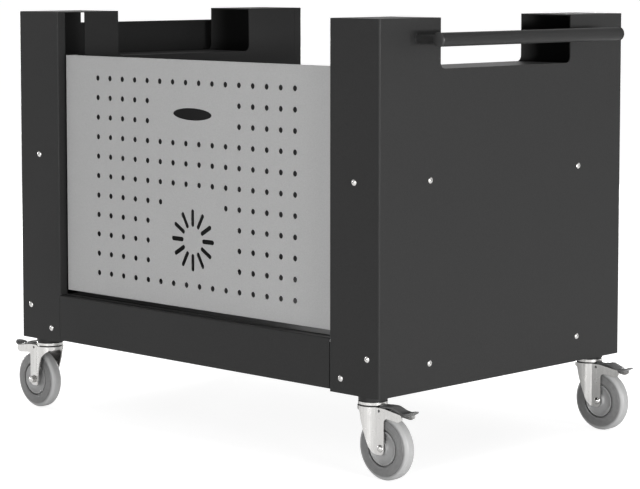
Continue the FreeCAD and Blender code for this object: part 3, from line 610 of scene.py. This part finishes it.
def front_panel():
    """The whole panel: perforated face, side rims with their bends, and the top and bottom rims."""
    bm = bmesh.new()
    bm.from_mesh(perforated_face())
    for side in (-1, 1):
        folded_side(bm, side)
    rim_half = (panel_high.x - panel_low.x) / 2 - PANEL_RIM_GAP
    for z in (panel_low.z, panel_high.z - SHEET):
        centre = (middle_x, panel_low.y + PANEL_RIM / 2 + PANEL_RIM_SETBACK, z + SHEET / 2)
        add_block(bm, (2 * rim_half, PANEL_RIM, SHEET), centre)
    mesh = mesh_from(bm, "front_panel_sheet", flat_normals=True)
    add_piece("front_panel_sheet", mesh, LIGHT_COAT, "front_panel", ["front_panel"])


# Screws, handle and bearing bosses
def dome(radius, height, pocket=0.0, depth=0.0, steps=DOME_STEPS):
    """The profile of a domed head from its seat to its middle, with a small pocket for the driver."""
    profile = [(0, 0), (radius, 0)]
    for k in range(steps):
        angle = DOME_START + (math.pi / 2 - DOME_START) * k / (steps - 1)
        reach = radius * math.cos(angle) / math.cos(DOME_START)
        if reach > pocket:
            profile.append((reach, height * math.sin(angle)))
    if pocket:
        rim = height * math.sqrt(1 - (pocket / radius) ** 2)
        profile += [(pocket, rim), (pocket * POCKET_TAPER, rim - depth)]
    profile.append((0, profile[-1][1]))
    return profile


def screw_heads(name, places, node):
    bm = bmesh.new()
    profile = dome(SCREW_RADIUS, SCREW_HEIGHT, POCKET_RADIUS, POCKET_DEPTH)
    for place, direction in places:
        lathe(bm, profile, place, direction, SCREW_SIDES)
    add_piece(name, mesh_from(bm, name), ZINC, "cabinet", [node])


def side_screw_places():
    places = []
    for face_x, outwards in ((left_low.x, -1), (right_high.x, 1)):
        for y in (right_low.y + SIDE_SCREW_INSET, right_high.y - SIDE_SCREW_INSET):
            for height in SIDE_SCREW_HEIGHTS:
                places.append(((face_x, y, right_low.z + height), (outwards, 0, 0)))
    return places


def post_screw_places():
    places = []
    for face_x, inwards in ((left_low.x, 1), (right_high.x, -1)):
        for inset, height in POST_SCREWS:
            x = face_x + inwards * inset
            places.append(((x, right_low.y, right_low.z + height), (0, -1, 0)))
            places.append(((x, right_high.y, right_low.z + height), (0, 1, 0)))
    return places


def handle_piece():
    """The grip tube with its open bore, its end caps, and two stand-offs that widen at wall and tube."""
    axis_x = handle_high.x - TUBE_RADIUS
    axis_z = (handle_low.z + handle_high.z) / 2
    length = handle_high.y - handle_low.y
    bore = TUBE_RADIUS - SHEET
    bm = bmesh.new()
    tube = [(TUBE_RADIUS, 0), (TUBE_RADIUS, length), (bore, length), (bore, 0), (TUBE_RADIUS, 0)]
    lathe(bm, tube, (axis_x, handle_low.y, axis_z), (0, 1, 0), TUBE_SIDES)
    reach = axis_x - handle_low.x - TUBE_RADIUS
    standoff = list(STANDOFF_FOOT) + [(radius, reach + height) for radius, height in STANDOFF_HEAD]
    for y in (handle_low.y + STANDOFF_INSET, handle_high.y - STANDOFF_INSET):
        lathe(bm, standoff, (handle_low.x, y, axis_z), (1, 0, 0), STANDOFF_SIDES)
    add_piece("handle_grip", mesh_from(bm, "handle_grip"), DARK_COAT, "cabinet",
              ["handle"])
    plug = bore - CAP_PLUG_PLAY
    cap = [(0, -CAP_PLUG_DEPTH), (plug, -CAP_PLUG_DEPTH), (plug, 0), (CAP_RADIUS, 0)]
    cap += [(CAP_RADIUS - inset, CAP_HEIGHT * share) for inset, share in CAP_EDGE]
    cap += [(CAP_CENTRE, CAP_HEIGHT), (0, CAP_HEIGHT)]
    for end, y, outwards in (("front", handle_low.y, -1), ("rear", handle_high.y, 1)):
        bm = bmesh.new()
        lathe(bm, cap, (axis_x, y, axis_z), (0, outwards, 0), TUBE_SIDES)
        name = f"handle_cap_{end}"
        add_piece(name, mesh_from(bm, name), CAP, "cabinet", [f"handle_end_cap_{end}"])


def bearing_bosses():
    """The painted bosses over the casters, one mesh for all four."""
    bm = bmesh.new()
    height = race_high.z - race_low.z
    boss = [(BOSS_BORE, 0), (BOSS_RADIUS - BOSS_EDGE, 0), (BOSS_RADIUS, BOSS_EDGE), (BOSS_RADIUS, height)]
    boss += [(BOSS_BORE, height), (BOSS_BORE, 0)]
    for corner in CORNERS:
        stem = joint_places[f"{corner}_swivel_turn"]
        lathe(bm, boss, (stem.x, stem.y, race_low.z), (0, 0, 1), BOSS_SIDES)
    add_piece("bearing_bosses", mesh_from(bm, "bearing_bosses"), DARK_COAT, "cabinet",
              ["caster_races"])


# Casters
def caster_place(corner):
    """The matrix from a caster's own frame to the row frame."""
    stem = joint_places[f"{corner}_swivel_turn"]
    axle = joint_places[f"{corner}_wheel_spin"]
    turn = 0.0 if axle.x > stem.x else math.pi
    return Matrix.Translation((stem.x, stem.y, 0)) @ Matrix.Rotation(turn, 4, "Z")


def unrolled(x):
    """How far along the fork's sheet a place lies: round the body from the nose, then straight back."""
    if x > CREASE_X:
        return BODY_ARC + x - CREASE_X
    return BODY_RADIUS * math.acos(min(1.0, -x / BODY_RADIUS))


def rolled(along):
    """The plan place of a point of the unrolled sheet. Distances on the wide cheek's side are negative."""
    side = -1 if along < 0 else 1
    distance = abs(along)
    if distance > BODY_ARC:
        return CREASE_X + distance - BODY_ARC, side * CHEEK_OUTER
    angle = distance / BODY_RADIUS
    return -BODY_RADIUS * math.cos(angle), side * BODY_RADIUS * math.sin(angle)


def rounded_path(corners):
    """A path through (x, z, radius) corners, each rounded by an arc; radius 0 keeps a corner sharp."""
    points = []
    last = len(corners) - 1
    for index, (x, z, radius) in enumerate(corners):
        corner = Vector((x, z))
        if radius == 0 or index in (0, last):
            points.append(corner)
            continue
        towards = (Vector(corners[index - 1][:2]) - corner).normalized()
        onwards = (Vector(corners[index + 1][:2]) - corner).normalized()
        opening = towards.angle(onwards)
        reach = radius / math.tan(opening / 2)
        centre = corner + (towards + onwards).normalized() * (radius / math.sin(opening / 2))
        first = corner + towards * reach - centre
        final = corner + onwards * reach - centre
        sweep = first.angle(final)
        for k in range(ARC_STEPS + 1):
            turn = sweep * k / ARC_STEPS
            arm = first * math.sin(sweep - turn) + final * math.sin(turn)
            points.append(centre + arm / math.sin(sweep))
    return points


def dense(points, step=RUN_STEP):
    """The same path with more points on its straight runs."""
    path = []
    for first, final in zip(points, points[1:]):
        count = max(1, math.ceil((final - first).length / step))
        path += [first.lerp(final, k / count) for k in range(count)]
    return path + [points[-1]]


def cheek_edge(front):
    """One cheek's free edge: from under the nose down its front, round the foot and along the brake arm."""
    corners = [(-BODY_RADIUS, SKIRT_Z, 0)] + list(front) + list(CHEEK_FOOT) + list(CHEEK_ARM)
    corners.append((ROOF_END, ROOF_Z, 0))
    return [(unrolled(point.x), point.y) for point in dense(rounded_path(corners))]


def unrolled_wall():
    """The flat blank of the fork's wall, with its pin and axle holes, at (distance, height, 0)."""
    wide = [(-along, z) for along, z in cheek_edge(WIDE_FRONT)]
    narrow = cheek_edge(NARROW_FRONT)
    outlines = [wide[::-1] + narrow[1:]]
    for side in (-1, 1):
        pin = (side * unrolled(PIN_X), PIN_Z)
        axle = (side * unrolled(AXLE_X), AXLE_Z)
        outlines.append(ellipse(pin, PIN_HOLE_RADIUS, PIN_HOLE_RADIUS, PIN_HOLE_SIDES))
        outlines.append(ellipse(axle, CUP_RADIUS, CUP_RADIUS, CUP_SIDES))
    return filled_sheet("fork_blank", outlines)


def body_cuts():
    """The distances at which the blank is cut so that it bends smoothly round the body."""
    cuts = [BODY_ARC * k / BODY_CUTS for k in range(-BODY_CUTS, BODY_CUTS + 1)]
    return cuts + [-unrolled(ROOF_END), unrolled(ROOF_END)]


def fork_skin():
    """The fork's outer surface: the bent wall with the roof on it."""
    bm = bmesh.new()
    bm.from_mesh(unrolled_wall())
    for cut in body_cuts():
        geometry = bm.verts[:] + bm.edges[:] + bm.faces[:]
        bmesh.ops.bisect_plane(bm, geom=geometry, dist=CUT_SNAP, plane_co=(cut, 0, 0), plane_no=(1, 0, 0))
    for vert in bm.verts:
        x, y = rolled(vert.co.x)
        vert.co = (x, y, vert.co.y)
    roof = []
    for cut in sorted(body_cuts()):
        x, y = rolled(cut)
        roof.append(bm.verts.new((x, y, ROOF_Z)))
    bm.faces.new(roof)
    bmesh.ops.remove_doubles(bm, verts=bm.verts, dist=SEAM_MERGE)
    bmesh.ops.recalc_face_normals(bm, faces=bm.faces)
    top_face = max(bm.faces, key=lambda face: face.calc_area())
    if top_face.normal.z < 0:
        bmesh.ops.reverse_faces(bm, faces=bm.faces)
    return bm


def thick_sheet(bm):
    """The skin with the sheet's thickness on its inner side."""
    mesh = bpy.data.meshes.new("fork_sheet")
    bm.to_mesh(mesh)
    bm.free()
    holder = bpy.data.objects.new("fork_sheet", mesh)
    solid = holder.modifiers.new("sheet", "SOLIDIFY")
    solid.thickness = FORK_SHEET
    solid.offset = -1
    solid.use_even_offset = True
    thick = bmesh.new()
    thick.from_mesh(settled_mesh(holder))
    return thick


def soften_fork(bm):
    """Rounds the drawn edge between roof and wall, and breaks the sheared edges."""
    drawn = []
    sheared = []
    for edge in bm.edges:
        if len(edge.link_faces) != 2 or edge.calc_face_angle(0.0) < math.radians(FORK_ROUNDED_FROM):
            continue
        heights = [abs(vert.co.z - ROOF_Z) for vert in edge.verts]
        normals = [abs(face.normal.z) for face in edge.link_faces]
        if max(heights) < ROOF_SNAP and max(normals) > LEVEL and min(normals) < UPRIGHT:
            drawn.append(edge)
        else:
            sheared.append(edge)
    round_edges(bm, sheared, SHEARED_EDGE, SHEARED_EDGE_STEPS)
    round_edges(bm, [edge for edge in drawn if edge.is_valid], DRAWN_EDGE, DRAWN_EDGE_STEPS)


def crown_profile():
    """The swivel bearing's bright band over its neck, which the dark ring of painted shade covers."""
    return [
        (NECK_RADIUS, ROOF_Z - CROWN_LAP),
        (NECK_RADIUS, NECK_TOP),
        (CROWN_RADIUS - CROWN_EDGE, NECK_TOP),
        (CROWN_RADIUS, NECK_TOP + CROWN_EDGE),
        (CROWN_RADIUS, CROWN_TOP - CROWN_EDGE),
        (CROWN_RADIUS - CROWN_EDGE, CROWN_TOP),
        (CROWN_BORE, CROWN_TOP),
    ]


def shade_ring_mesh():
    """A dark ring of painted shade in the gap between the swivel bearing and the fork."""
    inner = NECK_RADIUS - SHADE_RING_LAP
    ring = [(inner, ROOF_Z), (SHADE_RING_RADIUS - SHADE_RING_TAPER, ROOF_Z), (SHADE_RING_RADIUS, NECK_TOP), (inner, NECK_TOP)]
    bm = bmesh.new()
    lathe(bm, ring + ring[:1], (0, 0, 0), (0, 0, 1), CROWN_SIDES)
    return bm


def cup_profile():
    """The pressed cup round the axle's end, as a closed section of the sheet."""
    behind = [(radius, height - FORK_SHEET) for radius, height in CUP_BACK]
    return [*CUP_FACE, *behind, CUP_FACE[0]]


def fork_mesh():
    bm = thick_sheet(fork_skin())
    soften_fork(bm)
    lathe(bm, crown_profile(), (0, 0, 0), (0, 0, 1), CROWN_SIDES)
    for side in (-1, 1):
        lathe(bm, cup_profile(), (AXLE_X, side * CHEEK_OUTER, AXLE_Z), (0, side, 0), CUP_SIDES)
    return bm


def axle_mesh():
    """The bolt's domed head in one cup, and its flanged nut and its end in the other."""
    bm = bmesh.new()
    seat = CHEEK_OUTER - CUP_DEPTH
    head = dome(BOLT_HEAD_RADIUS, BOLT_HEAD_HEIGHT, steps=BOLT_HEAD_STEPS)
    lathe(bm, head, (AXLE_X, -seat, AXLE_Z), (0, -1, 0), BOLT_SIDES)
    lathe(bm, rod(SHANK_RADIUS, 0, 2 * seat), (AXLE_X, -seat, AXLE_Z), (0, 1, 0), SHANK_SIDES)
    bolt_end = dome(SHANK_RADIUS, BOLT_END_HEIGHT)
    reach = seat
    for profile, sides in ((NUT_FLANGE, BOLT_SIDES), (NUT, NUT_SIDES), (bolt_end, BOLT_END_SIDES)):
        lathe(bm, profile, (AXLE_X, reach, AXLE_Z), (0, 1, 0), sides)
        reach += profile[-1][1]
    return bm


def wheel_part(half):
    """A turned part of the wheel from one half of its section, given from the inside out."""
    section = [*half, *[(radius, -reach) for radius, reach in reversed(half)], half[0]]
    bm = bmesh.new()
    lathe(bm, section, (AXLE_X, 0, AXLE_Z), (0, 1, 0), WHEEL_SIDES)
    return bm


def tyre_mesh():
    """A solid tyre: a lip beside the hub's groove, a moulded step on its side and a rounded shoulder."""
    shoulder = [(point.x, point.y) for point in rounded_path(TYRE_SHOULDER)[1:-1]]
    bm = wheel_part([*TYRE_SIDE, *shoulder])
    # Painted light: a mask that is 1 on the tread, which the material paints paler
    painted_tread_light_layer = bm.verts.layers.float.new("tread")
    for vert in bm.verts:
        radius = math.hypot(vert.co.x - AXLE_X, vert.co.z - AXLE_Z)
        vert[painted_tread_light_layer] = min(1.0, max(0.0, (radius - TREAD_LIGHT_START) / (TREAD_LIGHT_FULL - TREAD_LIGHT_START)))
    return bm


def height_along(points, x):
    """The height of a path of rising x at one x."""
    for first, final in zip(points, points[1:]):
        if x <= final.x:
            share = max(0.0, x - first.x) / (final.x - first.x)
            return first.y + (final.y - first.y) * share
    return points[-1].y


def ridge_height(x):
    """The rise of the pedal's tread ridges at one x."""
    if not RIDGES_START < x < RIDGES_STOP:
        return 0.0
    return RIDGE_HEIGHT * max(0.0, math.cos((x - RIDGE_CREST) * 2 * math.pi / RIDGE_PITCH))


def pedal_stations():
    """Places along the pedal: (x, top z, bottom z, half width), closer together round the tip."""
    top = dense(rounded_path(PEDAL_TOP), PEDAL_LINE_STEP)
    bottom = dense(rounded_path(PEDAL_BOTTOM), PEDAL_LINE_STEP)
    round_start = PEDAL_TIP - PEDAL_HALF_WIDTH
    places = [PEDAL_START + (round_start - PEDAL_START) * k / PEDAL_STEPS for k in range(PEDAL_STEPS + 1)]
    for k in range(1, PEDAL_TIP_STEPS + 1):
        places.append(round_start + PEDAL_HALF_WIDTH * math.sin(math.pi / 2 * k / PEDAL_TIP_STEPS))
    stations = []
    for x in places:
        beyond = max(0.0, x - round_start)
        width = math.sqrt(max(0.0, PEDAL_HALF_WIDTH ** 2 - beyond ** 2))
        top_z = height_along(top, x) + ridge_height(x)
        stations.append((x, top_z, height_along(bottom, x), max(width, PEDAL_LAST_HALF_WIDTH)))
    return stations


def squared_off(value, power):
    """A cosine or sine drawn out to either end, which turns an ellipse into a block with soft edges."""
    return math.copysign(abs(value) ** power, value)


def pedal_mesh():
    """The brake pedal: a bent plate with soft edges and a half-round tip, with its pin, eye and shoe."""
    bm = bmesh.new()
    rings = []
    for x, top, bottom, width in pedal_stations():
        ring = []
        for k in range(PEDAL_SIDES):
            angle = 2 * math.pi * k / PEDAL_SIDES
            y = width * squared_off(math.cos(angle), PEDAL_SIDE_POWER)
            lift = (top - bottom) / 2 * squared_off(math.sin(angle), PEDAL_TOP_POWER)
            ring.append(bm.verts.new((x, y, (top + bottom) / 2 + lift)))
        rings.append(ring)
    skin(bm, rings)
    bm.faces.new(rings[0])
    bm.faces.new(rings[-1])
    pin = CHEEK_OUTER - PIN_PLAY
    for radius, half in ((PIN_RADIUS, pin), (EYE_RADIUS, PEDAL_HALF_WIDTH)):
        lathe(bm, rod(radius, -half, half), (PIN_X, 0, PIN_Z), (0, 1, 0), PIN_SIDES)
    shoe = add_block(bm, SHOE_SIZE, SHOE_PLACE)
    edges = dict.fromkeys(edge for vert in shoe for edge in vert.link_edges)
    round_edges(bm, list(edges), SHOE_EDGE, SHOE_EDGE_STEPS)
    return bm


def caster_piece(corner, name, bm, material, body, stands_for=True):
    bmesh.ops.transform(bm, matrix=caster_place(corner), verts=bm.verts)
    piece_name = f"{corner}_{name}_fine"
    mesh = mesh_from(bm, piece_name, CASTER_SHARP_FROM)
    nodes = [f"{corner}_{name}"] if stands_for else []
    add_piece(piece_name, mesh, material, f"{corner}_{body}", nodes)


def casters():
    for corner in CORNERS:
        caster_piece(corner, "fork", fork_mesh(), ZINC, "swivel")
        caster_piece(corner, "axle", axle_mesh(), ZINC, "swivel")
        # Painted shade: a dark ring in the bearing's gap, standing for no part
        caster_piece(corner, "shade_ring", shade_ring_mesh(), CAP, "swivel", stands_for=False)
        caster_piece(corner, "hub", wheel_part(HUB_SIDE), HUB, "wheel")
        caster_piece(corner, "tyre", tyre_mesh(), TYRE, "wheel")
        caster_piece(corner, "brake_pedal", pedal_mesh(), PEDAL, "brake")


# Stage
def make_floor():
    """A pale floor, near white to the camera. Its diffuse part keeps the object's real shadow, and ambient
    occlusion darkens its glow as a painted shadow, for the camera and in reflections.
    """
    bpy.ops.mesh.primitive_plane_add(size=FLOOR_SIZE, location=(0, 0, -FLOOR_DROP))
    floor = bpy.context.object
    floor.name = "studio_floor"
    g = Graph(bpy.data.materials.new("studio_floor"))
    g.tree.nodes.clear()
    camera_ray, mirrored_ray = g.seen_rays()
    # Painted shadow: ambient occlusion darkens the floor's glow under and round the object
    occlusion = g.node("ShaderNodeAmbientOcclusion", {"Distance": SHADOW_REACH}, samples=SHADOW_SAMPLES)
    shade = occlusion.outputs["AO"]
    to_camera = g.combined("MULTIPLY", camera_ray, g.spread(shade, FLOOR_SHADED_GLOW, FLOOR_SEEN_GLOW))
    to_mirror = g.combined("MULTIPLY", g.spread(mirrored_ray, 0, FLOOR_MIRRORED_GLOW), shade)
    colour = g.spread(camera_ray, FLOOR_COLOUR, FLOOR_SEEN_COLOUR)
    diffuse = g.node("ShaderNodeBsdfDiffuse", {"Color": colour}).outputs[0]
    strength = g.combined("MAXIMUM", to_camera, to_mirror)
    glow = g.node("ShaderNodeEmission", {"Strength": strength}).outputs[0]
    both = g.node("ShaderNodeAddShader", {0: diffuse, 1: glow}).outputs[0]
    g.node("ShaderNodeOutputMaterial", {"Surface": both})
    floor.data.materials.append(g.owner)


def make_world():
    """Weak even light for the object, and a white room with a dim ceiling for the camera and for metal."""
    world = bpy.data.worlds.new("studio")
    bpy.context.scene.world = world
    g = Graph(world)
    camera_ray, mirrored_ray = g.seen_rays()
    direction = g.node("ShaderNodeTexCoord").outputs["Generated"]
    height = g.node("ShaderNodeSeparateXYZ", {0: direction}).outputs["Z"]
    ceiling = g.spread(height, 1.0, CEILING, CEILING_START, CEILING_STOP)
    room = g.combined("MULTIPLY", g.spread(mirrored_ray, AMBIENT, 1.0), ceiling)
    back = g.tree.nodes["Background"]
    g.feed(back.inputs["Color"], (1, 1, 1, 1))
    g.feed(back.inputs["Strength"], g.combined("MAXIMUM", room, camera_ray))


def add_lamp(name, place, target, width, height, power):
    light = bpy.data.lights.new(name, "AREA")
    light.shape = "RECTANGLE"
    light.size = width
    light.size_y = height
    light.energy = power
    lamp = bpy.data.objects.new(name, light)
    lamp.location = place
    lamp.rotation_euler = (Vector(target) - Vector(place)).to_track_quat("-Z", "Y").to_euler()
    bpy.context.scene.collection.objects.link(lamp)


def make_camera():
    data = bpy.data.cameras.new("photo_camera")
    data.sensor_width = SENSOR_WIDTH
    data.lens = FOCAL_PIXELS / FRAME_WIDTH_PIXELS * SENSOR_WIDTH
    data.shift_y = CAMERA_SHIFT_Y
    camera = bpy.data.objects.new("photo_camera", data)
    camera.location = CAMERA_PLACE
    camera.rotation_euler = (math.pi / 2 - CAMERA_PITCH, 0, CAMERA_YAW)
    bpy.context.scene.collection.objects.link(camera)
    bpy.context.scene.camera = camera


make_camera()
make_world()
for lamp in LAMPS:
    add_lamp(*lamp)
make_floor()
dress_cad_nodes()
front_panel()
screw_heads("side_screw_heads", side_screw_places(), "side_wall_screws")
screw_heads("post_screw_heads", post_screw_places(), "post_screws")
handle_piece()
bearing_bosses()
casters()

bpy.context.scene.view_settings.view_transform = "Standard"
